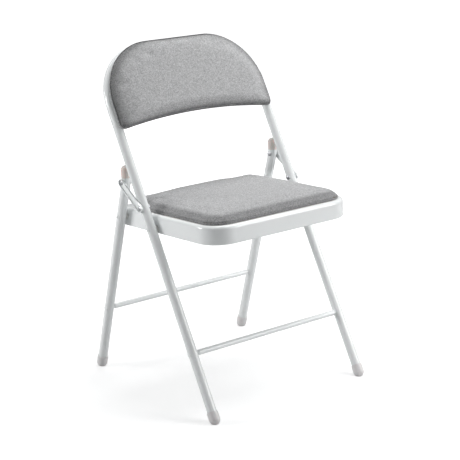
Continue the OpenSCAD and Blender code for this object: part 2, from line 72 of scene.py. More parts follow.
# Along the back frame: +X to the chair's right, +Y up the tubes, +Z out of the padded front
BACK_FRAME = (
    Matrix.Translation((0, SEAT_PIVOT.y - SEAT_PIVOT.z * math.tan(FRAME_LEAN), 0))
    @ Matrix.Rotation(-FRAME_LEAN, 4, "X")
    @ Matrix.Rotation(math.radians(90), 4, "X")
)


# ---- Pads: outlines, and the painted shade of their covers ----

SEAT_FRONT_R = 49 * MM  # corners of the seat pad
SEAT_REAR_R = 60 * MM
SEAT_RIM_DROP = 3 * MM  # from the top of the CAD cushion down to the pad's rim
SEAT_SWELL = 3 * MM  # most that the pressure may move the cover
SEAT_PAINTED_SHADE = 0.60  # painted shade: share of the fabric's colour that is left at the seam
SEAT_PAINTED_SHADE_LOW = 11 * MM  # the painted shade fades out between these heights over the pad's base
SEAT_PAINTED_SHADE_HIGH = 17 * MM

BACK_CORNER_R = 141 * MM  # upper corners of the backrest
BACK_LOW_R = 14 * MM  # lower corners
BACK_RISE = 16 * MM  # rise of the arched lower edge in its middle
BACK_LOW_REACH = 2 * MM  # the cover reaches past the board, below and above
BACK_TOP_REACH = 3 * MM
BACK_SWELL = 2.5 * MM
# painted shade on the back pad's sides, as on the seat pad
BACK_PAINTED_SHADE = 0.46
BACK_PAINTED_SHADE_LOW = 0.30  # here the two heights are shares of the pad's depth
BACK_PAINTED_SHADE_HIGH = 0.96
WRAP_PAINTED_SHADE = 0.85  # painted shade of the wrapped board behind the pad, darkest at its rear

LEAST_R = 12 * MM  # least corner radius of an outline that is drawn smaller
LEAST_LOW_R = 4 * MM


def local_box(node, matrix):
    """Lowest and highest corner of a CAD node in one of the leaning frames."""
    inverse = matrix.inverted()
    points = [inverse @ v.co for v in frame["nodes"][node].data.vertices]
    low = Vector(min(p[k] for p in points) for k in range(3))
    high = Vector(max(p[k] for p in points) for k in range(3))
    return low, high


# ---- Settings ----


class FabricSettings(bpy.types.PropertyGroup):
    """Cover fabric"""

    light: bpy.props.FloatVectorProperty(
        name="Light yarn", description="Colour of the lighter fibres", subtype="COLOR",
        size=4, min=0, max=1, default=(0.68, 0.68, 0.685, 1))
    dark: bpy.props.FloatVectorProperty(
        name="Dark yarn", description="Colour of the darker fibres", subtype="COLOR",
        size=4, min=0, max=1, default=(0.25, 0.25, 0.255, 1))
    thread: bpy.props.FloatProperty(
        name="Thread pitch", description="Distance from one thread to the next",
        subtype="DISTANCE", unit="LENGTH", default=1.1 * MM)


class PaintSettings(bpy.types.PropertyGroup):
    """Paint on the steel"""

    colour: bpy.props.FloatVectorProperty(
        name="Paint", description="Colour of the gloss paint", subtype="COLOR",
        size=4, min=0, max=1, default=(0.92, 0.94, 0.94, 1))
    roughness: bpy.props.FloatProperty(
        name="Paint roughness", description="Roughness of the gloss paint",
        subtype="FACTOR", min=0, max=1, default=0.11)


class PadSettings(bpy.types.PropertyGroup):
    """Foam pads of seat and backrest"""

    seat_crown: bpy.props.FloatProperty(
        name="Seat crown", description="Rise of the seat pad from its rim to its middle",
        subtype="DISTANCE", unit="LENGTH", default=6 * MM)
    back_crown: bpy.props.FloatProperty(
        name="Back crown", description="Rise of the back pad from its rim to its middle",
        subtype="DISTANCE", unit="LENGTH", default=3 * MM)
    voxel: bpy.props.FloatProperty(
        name="Voxel", description="Size of the cells that the pads are remeshed with",
        subtype="DISTANCE", unit="LENGTH", default=4.5 * MM)
    pressure: bpy.props.FloatProperty(
        name="Pressure", description="Pressure of the foam on its cover", default=4.0)
    piping: bpy.props.FloatProperty(
        name="Piping radius", description="Radius of the piping round the backrest",
        subtype="DISTANCE", unit="LENGTH", default=1.0 * MM)


class StudioSettings(bpy.types.PropertyGroup):
    """Camera and lights"""

    lens: bpy.props.FloatProperty(
        name="Lens", description="Focal length of the camera", subtype="DISTANCE_CAMERA",
        default=111.9)
    lamp_level: bpy.props.FloatProperty(
        name="Lamp level", description="Strength of all the lamps together", default=1.0)


# ---- Node helpers ----


def new_material(name, base, roughness, metallic=0.0):
    """Material with one Principled BSDF, and that shader."""
    material = bpy.data.materials.new(name)
    material.use_nodes = True
    shader = material.node_tree.nodes["Principled BSDF"]
    shader.inputs["Base Color"].default_value = base
    shader.inputs["Roughness"].default_value = roughness
    shader.inputs["Metallic"].default_value = metallic
    return material, shader


def add(tree, kind, **values):
    """Node of that kind; values name its attributes, or its inputs with spaces as _."""
    node = tree.nodes.new(kind)
    for key, value in values.items():
        if hasattr(node, key):
            setattr(node, key, value)
        else:
            node.inputs[key.replace("_", " ")].default_value = value
    return node


def join(tree, source, target):
    """Link an output socket to an input socket."""
    tree.links.new(source, target)


def maths(tree, operation, a, b=None):
    """Math node on sockets or numbers, and its output."""
    node = tree.nodes.new("ShaderNodeMath")
    node.operation = operation
    for index, value in enumerate((a, b)):
        if value is None:
            continue
        if isinstance(value, (int, float)):
            node.inputs[index].default_value = value
        else:
            tree.links.new(value, node.inputs[index])
    return node.outputs[0]


def noise(tree, vector, scale, detail=2.0, roughness=0.5):
    """Noise texture on a vector socket, and its value."""
    node = add(tree, "ShaderNodeTexNoise", Scale=scale, Detail=detail, Roughness=roughness)
    tree.links.new(vector, node.inputs["Vector"])
    return node.outputs[0]


def spread(tree, value, low, high):
    """Map a 0 to 1 value to the range low to high."""
    node = tree.nodes.new("ShaderNodeMapRange")
    node.inputs["To Min"].default_value = low
    node.inputs["To Max"].default_value = high
    tree.links.new(value, node.inputs["Value"])
    return node.outputs[0]


def new_group(name, inputs, outputs):
    """Empty node group with named sockets, and its input and output nodes."""
    group = bpy.data.node_groups.new(name, "ShaderNodeTree")
    for label, kind, default in inputs:
        socket = group.interface.new_socket(label, in_out="INPUT", socket_type=kind)
        if default is not None:
            socket.default_value = default
    for label, kind in outputs:
        group.interface.new_socket(label, in_out="OUTPUT", socket_type=kind)
    return group, group.nodes.new("NodeGroupInput"), group.nodes.new("NodeGroupOutput")


def use_group(tree, group, **values):
    """The group as a node in a material, with its own values."""
    node = tree.nodes.new("ShaderNodeGroup")
    node.node_tree = group
    for key, value in values.items():
        node.inputs[key.replace("_", " ")].default_value = value
    return node


def bump(tree, height, strength, distance):
    """Bump node on a height, and its normal."""
    node = add(tree, "ShaderNodeBump", Strength=strength, Distance=distance)
    tree.links.new(height, node.inputs["Height"])
    return node.outputs["Normal"]


# ---- Shared effects ----


def weave_group():
    """Plain weave of heather yarn, laid on the surface from three sides."""
    found = bpy.data.node_groups.get("Heather weave")
    if found:
        return found
    group, source, result = new_group(
        "Heather weave",
        [("Vector", "NodeSocketVector", None), ("Normal", "NodeSocketVector", None),
         ("Light", "NodeSocketColor", (0.5, 0.5, 0.5, 1)),
         ("Dark", "NodeSocketColor", (0.2, 0.2, 0.2, 1)),
         ("Threads", "NodeSocketFloat", 900.0)],
        [("Color", "NodeSocketColor"), ("Height", "NodeSocketFloat"),
         ("Roughness", "NodeSocketFloat")])
    place = source.outputs["Vector"]
    # wander, so that the threads aren't ruled lines
    wander = add(group, "ShaderNodeTexNoise", Scale=160.0, Detail=1.0)
    join(group, place, wander.inputs["Vector"])
    nudge = add(group, "ShaderNodeVectorMath", operation="MULTIPLY_ADD")
    join(group, wander.outputs["Color"], nudge.inputs[0])
    nudge.inputs[1].default_value = (0.0012, 0.0012, 0.0012)
    join(group, place, nudge.inputs[2])
    scaled = add(group, "ShaderNodeVectorMath", operation="SCALE")
    join(group, nudge.outputs[0], scaled.inputs[0])
    join(group, source.outputs["Threads"], scaled.inputs["Scale"])
    axes = add(group, "ShaderNodeSeparateXYZ")
    join(group, scaled.outputs[0], axes.inputs[0])
    facing = add(group, "ShaderNodeVectorMath", operation="ABSOLUTE")
    join(group, source.outputs["Normal"], facing.inputs[0])
    sides = add(group, "ShaderNodeSeparateXYZ")
    join(group, facing.outputs[0], sides.inputs[0])
    # along each axis, the ridges of the threads that cross it and the number of the thread
    ridge = []
    cell = []
    for axis in axes.outputs:
        turn = maths(group, "MULTIPLY", axis, math.pi)
        ridge.append(maths(group, "ABSOLUTE", maths(group, "SINE", turn)))
        cell.append(maths(group, "FLOOR", axis))
    # a side shows the threads along its two axes, over and under by turns
    total = None
    weight = None
    for normal, first, second in ((0, 1, 2), (1, 0, 2), (2, 0, 1)):
        over = maths(group, "PINGPONG", maths(group, "ADD", cell[first], cell[second]), 1.0)
        under = maths(group, "SUBTRACT", 1.0, over)
        height = maths(group, "ADD", maths(group, "MULTIPLY", ridge[first], over),
                       maths(group, "MULTIPLY", ridge[second], under))
        share = maths(group, "POWER", sides.outputs[normal], 6.0)
        part = maths(group, "MULTIPLY", height, share)
        total = part if total is None else maths(group, "ADD", total, part)
        weight = share if weight is None else maths(group, "ADD", weight, share)
    weave = maths(group, "DIVIDE", total, weight)
    # heather: two shades in fine specks, in grains of one shade each, in short slubs, in a
    # faint mottle and along the threads, each with its share
    speck = noise(group, place, 640.0, 3.0, 0.8)
    grains = add(group, "ShaderNodeTexVoronoi", Scale=520.0)
    join(group, nudge.outputs[0], grains.inputs["Vector"])
    shades = add(group, "ShaderNodeSeparateColor")
    join(group, grains.outputs["Color"], shades.inputs[0])
    slub = noise(group, nudge.outputs[0], 260.0, 2.0, 0.5)
    mottle = noise(group, place, 55.0, 2.0, 0.5)
    blend = maths(group, "MULTIPLY", speck, 0.55)
    for value, share in ((shades.outputs[0], 0.24), (slub, 0.10), (mottle, 0.03), (weave, 0.10)):
        blend = maths(group, "ADD", blend, maths(group, "MULTIPLY", value, share))
    ramp = add(group, "ShaderNodeMapRange", From_Min=0.30, From_Max=0.72)
    join(group, blend, ramp.inputs["Value"])
    shade = add(group, "ShaderNodeMix", data_type="RGBA")
    join(group, ramp.outputs[0], shade.inputs[0])
    join(group, source.outputs["Dark"], shade.inputs[6])
    join(group, source.outputs["Light"], shade.inputs[7])
    join(group, shade.outputs[2], result.inputs["Color"])
    join(group, maths(group, "ADD", weave, maths(group, "MULTIPLY", speck, 0.8)),
         result.inputs["Height"])
    join(group, spread(group, speck, 0.78, 0.98), result.inputs["Roughness"])
    return group


def surface_group():
    """Fine unevenness of a hard surface: a slight drift of shade, of gloss and of level."""
    found = bpy.data.node_groups.get("Surface drift")
    if found:
        return found
    group, source, result = new_group(
        "Surface drift",
        [("Vector", "NodeSocketVector", None), ("Color", "NodeSocketColor", (1, 1, 1, 1)),
         ("Shade", "NodeSocketFloat", 0.03), ("Roughness", "NodeSocketFloat", 0.3),
         ("Spread", "NodeSocketFloat", 0.05), ("Grain", "NodeSocketFloat", 500.0)],
        [("Color", "NodeSocketColor"), ("Roughness", "NodeSocketFloat"),
         ("Height", "NodeSocketFloat")])
    place = source.outputs["Vector"]
    broad = noise(group, place, 14.0, 3.0, 0.5)
    fine = add(group, "ShaderNodeTexNoise", Detail=3.0, Roughness=0.55)
    join(group, place, fine.inputs["Vector"])
    join(group, source.outputs["Grain"], fine.inputs["Scale"])
    # the colour times 1 - Shade * broad
    loss = maths(group, "MULTIPLY", broad, source.outputs["Shade"])
    factor = maths(group, "SUBTRACT", 1.0, loss)
    tint = add(group, "ShaderNodeVectorMath", operation="SCALE")
    join(group, source.outputs["Color"], tint.inputs[0])
    join(group, factor, tint.inputs["Scale"])
    join(group, tint.outputs[0], result.inputs["Color"])
    mixed = maths(group, "ADD", broad, maths(group, "MULTIPLY", fine.outputs[0], 0.5))
    centred = maths(group, "SUBTRACT", mixed, 0.75)
    drift = maths(group, "MULTIPLY", centred, source.outputs["Spread"])
    rough = maths(group, "ADD", source.outputs["Roughness"], drift)
    join(group, rough, result.inputs["Roughness"])
    join(group, fine.outputs[0], result.inputs["Height"])
    return group


# ---- Materials ----


def place_socket(tree, matrix=None):
    """Object coordinates, turned into one of the leaning frames if asked."""
    coordinates = tree.nodes.new("ShaderNodeTexCoord")
    if matrix is None:
        return coordinates.outputs["Object"], coordinates.outputs["Normal"]
    turned = []
    for output, kind in (("Object", "POINT"), ("Normal", "VECTOR")):
        mapping = add(tree, "ShaderNodeMapping", vector_type=kind)
        mapping.inputs["Rotation"].default_value = matrix.inverted().to_euler()
        if kind == "POINT":
            mapping.inputs["Location"].default_value = matrix.inverted().translation
        join(tree, coordinates.outputs[output], mapping.inputs["Vector"])
        turned.append(mapping.outputs[0])
    return turned[0], turned[1]


def fabric_material(name, matrix, seam, top, shade):
    """Heather fabric, with its threads along the piece.

    Up to the height seam only the share shade of its colour is left, and from top on all of it: a
    painted shade toward the seam.
    """
    settings = bpy.context.scene.chair_fabric
    material, shader = new_material(name, (0.4, 0.4, 0.4, 1), 0.9)
    tree = material.node_tree
    place, normal = place_socket(tree, matrix)
    weave = use_group(tree, weave_group(), Light=tuple(settings.light),
                      Dark=tuple(settings.dark), Threads=1 / settings.thread)
    join(tree, place, weave.inputs["Vector"])
    join(tree, normal, weave.inputs["Normal"])
    # painted shade: the cover is drawn darker toward its seam, which the studio's lights alone
    # don't do
    parts = tree.nodes.new("ShaderNodeSeparateXYZ")
    join(tree, place, parts.inputs[0])
    painted_shade_factor = add(tree, "ShaderNodeMapRange", interpolation_type="SMOOTHSTEP", From_Min=seam,
               From_Max=top, To_Min=shade, To_Max=1.0)
    join(tree, parts.outputs[2], painted_shade_factor.inputs["Value"])
    painted_shade_colour = add(tree, "ShaderNodeVectorMath", operation="SCALE")
    join(tree, weave.outputs["Color"], painted_shade_colour.inputs[0])
    join(tree, painted_shade_factor.outputs[0], painted_shade_colour.inputs["Scale"])
    join(tree, painted_shade_colour.outputs[0], shader.inputs["Base Color"])
    join(tree, weave.outputs["Roughness"], shader.inputs["Roughness"])
    join(tree, bump(tree, weave.outputs["Height"], 0.55, 0.0004), shader.inputs["Normal"])
    shader.inputs["Sheen Weight"].default_value = 0.10
    shader.inputs["Sheen Roughness"].default_value = 0.5
    shader.inputs["Specular IOR Level"].default_value = 0.25
    return material


def hard_material(name, base, roughness, grain, shade=0.04, gloss_spread=0.05, strength=0.08,
                  distance=0.00005, metallic=0.0):
    """Hard surface with the shared drift of shade, gloss and level."""
    material, shader = new_material(name, base, roughness, metallic)
    tree = material.node_tree
    place, _ = place_socket(tree)
    drift = use_group(tree, surface_group(), Color=base, Shade=shade, Roughness=roughness,
                      Spread=gloss_spread, Grain=grain)
    join(tree, place, drift.inputs["Vector"])
    join(tree, drift.outputs["Color"], shader.inputs["Base Color"])
    join(tree, drift.outputs["Roughness"], shader.inputs["Roughness"])
    join(tree, bump(tree, drift.outputs["Height"], strength, distance), shader.inputs["Normal"])
    return material, shader


def paint_material():
    """Gloss powder coat on steel, with a faint orange peel."""
    settings = bpy.context.scene.chair_paint
    material, shader = hard_material("White gloss paint", tuple(settings.colour),
                                     settings.roughness, grain=420.0, shade=0.02,
                                     gloss_spread=0.05, strength=0.10, distance=0.00004)
    shader.inputs["Coat Weight"].default_value = 0.35
    shader.inputs["Coat Roughness"].default_value = 0.06
    return material


def zinc_material():
    """Zinc-plated rivets and screws."""
    material, _ = hard_material("Zinc plate", (0.36, 0.365, 0.38, 1), 0.38, grain=1500.0,
                                shade=0.25, gloss_spread=0.2, strength=0.2, distance=0.00005,
                                metallic=1.0)
    return material


def cap_material():
    """Moulded foot caps, pale and slightly warm."""
    material, shader = hard_material("Pale moulded plastic", (0.82, 0.80, 0.80, 1), 0.42,
                                     grain=900.0, shade=0.06, gloss_spread=0.12, strength=0.2,
                                     distance=0.00006)
    shader.inputs["Subsurface Weight"].default_value = 0.15
    shader.inputs["Subsurface Radius"].default_value = (0.004, 0.003, 0.003)
    shader.inputs["Subsurface Scale"].default_value = 1.0
    return material


def plug_material():
    """Soft translucent plugs of a beige tint."""
    material, shader = hard_material("Translucent soft plastic", (0.80, 0.73, 0.69, 1), 0.36,
                                     grain=700.0, shade=0.08, gloss_spread=0.10, strength=0.15,
                                     distance=0.00006)
    shader.inputs["Subsurface Weight"].default_value = 0.5
    shader.inputs["Subsurface Radius"].default_value = (0.006, 0.0035, 0.003)
    shader.inputs["Subsurface Scale"].default_value = 1.0
    return material


def spacer_material():
    """Nylon spacer rings."""
    material, _ = hard_material("Natural nylon", (0.66, 0.66, 0.63, 1), 0.45, grain=900.0)
    return material


def plywood_material():
    """Raw plywood of the seat board, with its grain along the seat."""
    material, shader = new_material("Raw plywood", (0.5, 0.36, 0.21, 1), 0.75)
    tree = material.node_tree
    place, _ = place_socket(tree, SEAT_FRAME)
    stretch = add(tree, "ShaderNodeMapping")
    stretch.inputs["Scale"].default_value = (60.0, 5.0, 500.0)
    join(tree, place, stretch.inputs["Vector"])
    grain = noise(tree, stretch.outputs[0], 1.0, 5.0, 0.6)
    ramp = tree.nodes.new("ShaderNodeValToRGB")
    ramp.color_ramp.elements[0].position = 0.3
    ramp.color_ramp.elements[0].color = (0.34, 0.22, 0.12, 1)
    ramp.color_ramp.elements[1].position = 0.7
    ramp.color_ramp.elements[1].color = (0.56, 0.41, 0.25, 1)
    join(tree, grain, ramp.inputs[0])
    join(tree, ramp.outputs[0], shader.inputs["Base Color"])
    join(tree, spread(tree, grain, 0.65, 0.85), shader.inputs["Roughness"])
    join(tree, bump(tree, grain, 0.2, 0.0002), shader.inputs["Normal"])
    return material


def finish_nodes(material, *nodes):
    """Give CAD nodes a material; their shapes stay as they are."""
    for node in nodes:
        mesh = frame["nodes"][node].data
        mesh.materials.clear()
        mesh.materials.append(material)


# ---- Mesh helpers ----


def arc(centre, radius, start, stop, count):
    """Points on an arc, angles in degrees, without the last one."""
    points = []
    for step in range(count):
        angle = math.radians(start + (stop - start) * step / count)
        points.append((centre[0] + radius * math.cos(angle), centre[1] + radius * math.sin(angle)))
    return points


def line(start, stop, count):
    """Points on a line, without the last one."""
    return [(start[0] + (stop[0] - start[0]) * k / count,
             start[1] + (stop[1] - start[1]) * k / count) for k in range(count)]


def seat_outline(half_width, front, rear, front_r, rear_r, inset):
    """Rounded plan of the seat pad, drawn smaller by inset, counterclockwise from above."""
    x = half_width - inset
    y0 = front + inset
    y1 = rear - inset
    rf = max(front_r - inset, LEAST_R)
    rr = max(rear_r - inset, LEAST_R)
    points = line((-(x - rf), y0), (x - rf, y0), 36)
    points += arc((x - rf, y0 + rf), rf, -90, 0, 20)
    points += line((x, y0 + rf), (x, y1 - rr), 32)
    points += arc((x - rr, y1 - rr), rr, 0, 90, 20)
    points += line((x - rr, y1), (-(x - rr), y1), 36)
    points += arc((-(x - rr), y1 - rr), rr, 90, 180, 20)
    points += line((-x, y1 - rr), (-x, y0 + rf), 32)
    points += arc((-(x - rf), y0 + rf), rf, 180, 270, 20)
    return points


def back_outline(half_width, low, top, corner_r, low_r, rise, inset):
    """D-shaped outline of the backrest: its sides draw in most by inset, its lower edge least."""
    x = half_width - 1.45 * inset
    y0 = low + 0.5 * inset
    y1 = top - 0.6 * inset
    r = max(corner_r - inset, LEAST_R)
    rl = max(low_r - inset / 2, LEAST_LOW_R)
    half = x - rl - 2 * MM  # the arch of the lower edge ends just inside the corners
    arch_r = (half ** 2 + rise ** 2) / (2 * rise)
    reach = math.degrees(math.asin(half / arch_r))
    points = arc((0, y0 + rise - arch_r), arch_r, 90 + reach, 90 - reach, 48)
    points += arc((x - rl, y0 + rl), rl, -90, 0, 12)
    points += line((x, y0 + rl), (x, y1 - r), 10)
    points += arc((x - r, y1 - r), r, 0, 90, 28)
    points += line((x - r, y1), (-(x - r), y1), 24)
    points += arc((-(x - r), y1 - r), r, 90, 180, 28)
    points += line((-x, y1 - r), (-x, y0 + rl), 10)
    points += arc((-(x - rl), y0 + rl), rl, 180, 270, 12)
    return points


def new_piece(name, work):
    """Object in the scene with the mesh that was built in work."""
    mesh = bpy.data.meshes.new(name)
    work.to_mesh(mesh)
    work.free()
    piece = bpy.data.objects.new(name, mesh)
    bpy.context.scene.collection.objects.link(piece)
    return piece


def loft(name, outline, section):
    """Closed piece through copies of an outline; section lists each copy's inset and height."""
    work = bmesh.new()
    rings = []
    for inset, height in section:
        rings.append([work.verts.new((x, y, height)) for x, y in outline(inset)])
    count = len(rings[0])
    for below, above in zip(rings, rings[1:]):
        for k in range(count):
            n = (k + 1) % count
            work.faces.new((below[k], below[n], above[n], above[k]))
    for ring, flip in ((rings[0], True), (rings[-1], False)):
        middle = work.verts.new(sum((v.co for v in ring), Vector()) / count)
        for k in range(count):
            n = (k + 1) % count
            corners = (ring[n], ring[k], middle) if flip else (ring[k], ring[n], middle)
            work.faces.new(corners)
    work.normal_update()
    return new_piece(name, work)


def loft_band(name, outline, inset, thickness, low, high):
    """Upright strip of cover that follows an outline, closed all round."""
    work = bmesh.new()
    corners = [(inset, low), (inset - 0.3 * MM, low + 0.4 * (high - low)), (inset, high),
               (inset + thickness, high), (inset + thickness, low)]
    rings = []
    for offset, height in corners:
        rings.append([work.verts.new((x, y, height)) for x, y in outline(offset)])
    count = len(rings[0])
    for index, ring in enumerate(rings):
        other = rings[(index + 1) % len(rings)]
        for k in range(count):
            n = (k + 1) % count
            work.faces.new((ring[k], ring[n], other[n], other[k]))
    bmesh.ops.recalc_face_normals(work, faces=work.faces)
    return new_piece(name, work)


def ring_tube(name, outline, inset, height, radius, sides=10):
    """Closed round cord that follows an outline."""
    points = [Vector((x, y, height)) for x, y in outline(inset)]
    up = Vector((0, 0, 1))
    work = bmesh.new()
    count = len(points)
    rings = []
    for k, point in enumerate(points):
        along = (points[(k + 1) % count] - points[k - 1]).normalized()
        out = along.cross(up)
        ring = []
        for side in range(sides):
            angle = 2 * math.pi * side / sides
            offset = out * math.cos(angle) + up * math.sin(angle)
            ring.append(work.verts.new(point + radius * offset))
        rings.append(ring)
    for k in range(count):
        here = rings[k]
        there = rings[(k + 1) % count]
        for side in range(sides):
            n = (side + 1) % sides
            work.faces.new((here[side], here[n], there[n], there[side]))
    bmesh.ops.recalc_face_normals(work, faces=work.faces)
    return new_piece(name, work)


def settle(piece, matrix):
    """Put a piece drawn in a leaning frame into place, and shade it smooth."""
    piece.data.transform(matrix)
    piece.data.update()
    for polygon in piece.data.polygons:
        polygon.use_smooth = True


def freeze(piece):
    """Replace a piece's mesh by what its modifiers make of it."""
    shape = piece.evaluated_get(bpy.context.evaluated_depsgraph_get())
    mesh = bpy.data.meshes.new_from_object(shape)
    piece.modifiers.clear()
    piece.data = mesh


def remesh(piece):
    """Even mesh of small cells all over a closed pad."""
    modifier = piece.modifiers.new("Remesh", "REMESH")
    modifier.mode = "VOXEL"
    modifier.voxel_size = bpy.context.scene.chair_pads.voxel
    freeze(piece)


def inflate(piece, floor, cap):
    """Let foam pressure swell a pad's cover; nothing below floor moves, and none over cap."""
    pads = bpy.context.scene.chair_pads
    frames = 20
    start = [v.co.copy() for v in piece.data.vertices]
    held = piece.vertex_groups.new(name="held")
    for vertex in piece.data.vertices:
        if vertex.co.z < floor:
            held.add([vertex.index], 1.0, "REPLACE")
    cloth = piece.modifiers.new("Cloth", "CLOTH")
    cloth.settings.use_pressure = True
    cloth.settings.uniform_pressure_force = pads.pressure
    cloth.settings.effector_weights.gravity = 0
    cloth.settings.vertex_group_mass = "held"
    cloth.settings.quality = 6
    cloth.settings.mass = 0.25
    cloth.settings.tension_stiffness = 20
    cloth.settings.compression_stiffness = 20
    cloth.settings.shear_stiffness = 8
    cloth.settings.bending_stiffness = 1.5
    cloth.collision_settings.use_collision = False
    cloth.point_cache.frame_start = 1
    cloth.point_cache.frame_end = frames
    scene = bpy.context.scene
    for step in range(1, frames + 1):
        scene.frame_set(step)
    freeze(piece)
    scene.frame_set(1)
    for vertex, before in zip(piece.data.vertices, start):
        moved = vertex.co - before
        if moved.length > cap:
            vertex.co = before + moved * (cap / moved.length)
    piece.vertex_groups.clear()


def crown(piece, rise, floor):
    """Raise the middle of a pad's top by rise, falling smoothly to nothing at its sides."""
    low = Vector(piece.bound_box[0])  # lowest corner of the box
    high = Vector(piece.bound_box[6])  # the one across it
    middle = (low + high) / 2
    half = (high - low) / 2
    for vertex in piece.data.vertices:
        x = (vertex.co.x - middle.x) / half.x
        y = (vertex.co.y - middle.y) / half.y
        share = max(0.0, vertex.co.z - floor) / (high.z - floor)
        swell = max(0.0, 1 - x * x) * max(0.0, 1 - y * y)
        vertex.co.z += rise * share * math.sqrt(swell)


def relax(piece, floor, rounds=3):
    """Even out the ripples that a remesh leaves, above floor."""
    work = bmesh.new()
    work.from_mesh(piece.data)
    free = [v for v in work.verts if v.co.z > floor]
    for _ in range(rounds):
        bmesh.ops.smooth_vert(work, verts=free, factor=0.5, use_axis_x=True, use_axis_y=True,
                              use_axis_z=True)
    work.to_mesh(piece.data)
    work.free()


def refine(piece):
    """One level of subdivision, applied."""
    subdivide = piece.modifiers.new("Subdivide", "SUBSURF")
    subdivide.levels = 1
    subdivide.render_levels = 1
    freeze(piece)


def make_pad(name, outline, section, swell, rise, crowned):
    """Foam pad: a loft whose cover swells by up to swell, with its top crowned by rise.

    The crown begins at the share crowned of the pad's height.
    """
    pad = loft(name, outline, section)
    base = section[0][1]
    height = section[-1][1] - base
    held = base + 0.10 * height
    remesh(pad)
    inflate(pad, held, swell)
    relax(pad, held)
    crown(pad, rise, base + crowned * height)
    refine(pad)
    return pad


def dress(piece, material, body):
    """Finish and body of a new piece."""
    piece.data.materials.clear()
    piece.data.materials.append(material)
    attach(piece, body)


# ---- Pieces ----


class CHAIR_OT_paint_steel(bpy.types.Operator):
    """Paint the tubes, crossbars, links, tabs and the seat pan"""

    bl_idname = "chair.paint_steel"
    bl_label = "Paint steel parts"

    def execute(self, context):
        finish_nodes(paint_material(), "back_frame_tube", "front_crossbar", "backrest_tabs",
                     "seat_pan", "rear_leg_left", "rear_leg_right", "rear_crossbar",
                     "link_left", "link_right", "seat_pivot_rivets", "leg_pivot_rivets")
        return {"FINISHED"}


class CHAIR_OT_finish_fasteners(bpy.types.Operator):
    """Plate the rivets and screws with zinc"""

    bl_idname = "chair.finish_fasteners"
    bl_label = "Finish rivets and screws"

    def execute(self, context):
        finish_nodes(zinc_material(), "link_pivot_rivets", "backrest_screws", "seat_screws",
                     "leg_top_rivets", "link_top_rivets")
        return {"FINISHED"}


class CHAIR_OT_finish_mouldings(bpy.types.Operator):
    """Finish the foot caps, leg plugs and spacer rings"""

    bl_idname = "chair.finish_mouldings"
    bl_label = "Finish moulded parts"

    def execute(self, context):
        finish_nodes(cap_material(), "front_foot_cap_left", "front_foot_cap_right",
                     "rear_foot_cap_left", "rear_foot_cap_right")
        finish_nodes(plug_material(), "leg_plug_left", "leg_plug_right")
        finish_nodes(spacer_material(), "seat_pivot_spacers", "leg_pivot_spacers")
        return {"FINISHED"}


class CHAIR_OT_finish_seat_board(bpy.types.Operator):
    """Finish the plywood board under the seat pad"""

    bl_idname = "chair.finish_seat_board"
    bl_label = "Finish seat board"

    def execute(self, context):
        finish_nodes(plywood_material(), "seat_board")
        return {"FINISHED"}


class CHAIR_OT_make_seat_pad(bpy.types.Operator):
    """Make the crowned seat pad and the cover's band round the board"""

    bl_idname = "chair.make_seat_pad"
    bl_label = "Make seat pad"

    def execute(self, context):
        low, high = local_box("seat_cushion", SEAT_FRAME)
        _, pan_high = local_box("seat_pan", SEAT_FRAME)

        def outline(inset):
            return seat_outline(high.x, low.y, high.y, SEAT_FRONT_R, SEAT_REAR_R, inset)

        rim = high.z - SEAT_RIM_DROP
        side = rim - low.z
        section = [(1.5 * MM, low.z), (0.2 * MM, low.z + 0.06 * side),
                   (0.0, low.z + 0.13 * side), (3.0 * MM, low.z + 0.30 * side),
                   (6.5 * MM, low.z + 0.48 * side), (10 * MM, low.z + 0.66 * side),
                   (13.5 * MM, low.z + 0.81 * side), (17.5 * MM, low.z + 0.91 * side),
                   (23 * MM, low.z + 0.97 * side), (31 * MM, rim)]
        pad = make_pad("seat_pad", outline, section, SEAT_SWELL,
                       context.scene.chair_pads.seat_crown, 0.5)
        settle(pad, SEAT_FRAME)
        # painted shade on the pad's lower sides, fading out between the two heights
        fabric = fabric_material("Seat fabric", SEAT_FRAME, low.z + SEAT_PAINTED_SHADE_LOW,
                                 low.z + SEAT_PAINTED_SHADE_HIGH, SEAT_PAINTED_SHADE)
        dress(pad, fabric, "seat")
        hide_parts("seat_cushion")

        # the cover's lower edge, drawn in round the board and clear of pan and pad
        band = loft_band("seat_cover_band", outline, 1.6 * MM, 0.7 * MM,
                         pan_high.z + 0.35 * MM, low.z + 0.4 * MM)
        settle(band, SEAT_FRAME)
        dress(band, fabric, "seat")
        return {"FINISHED"}


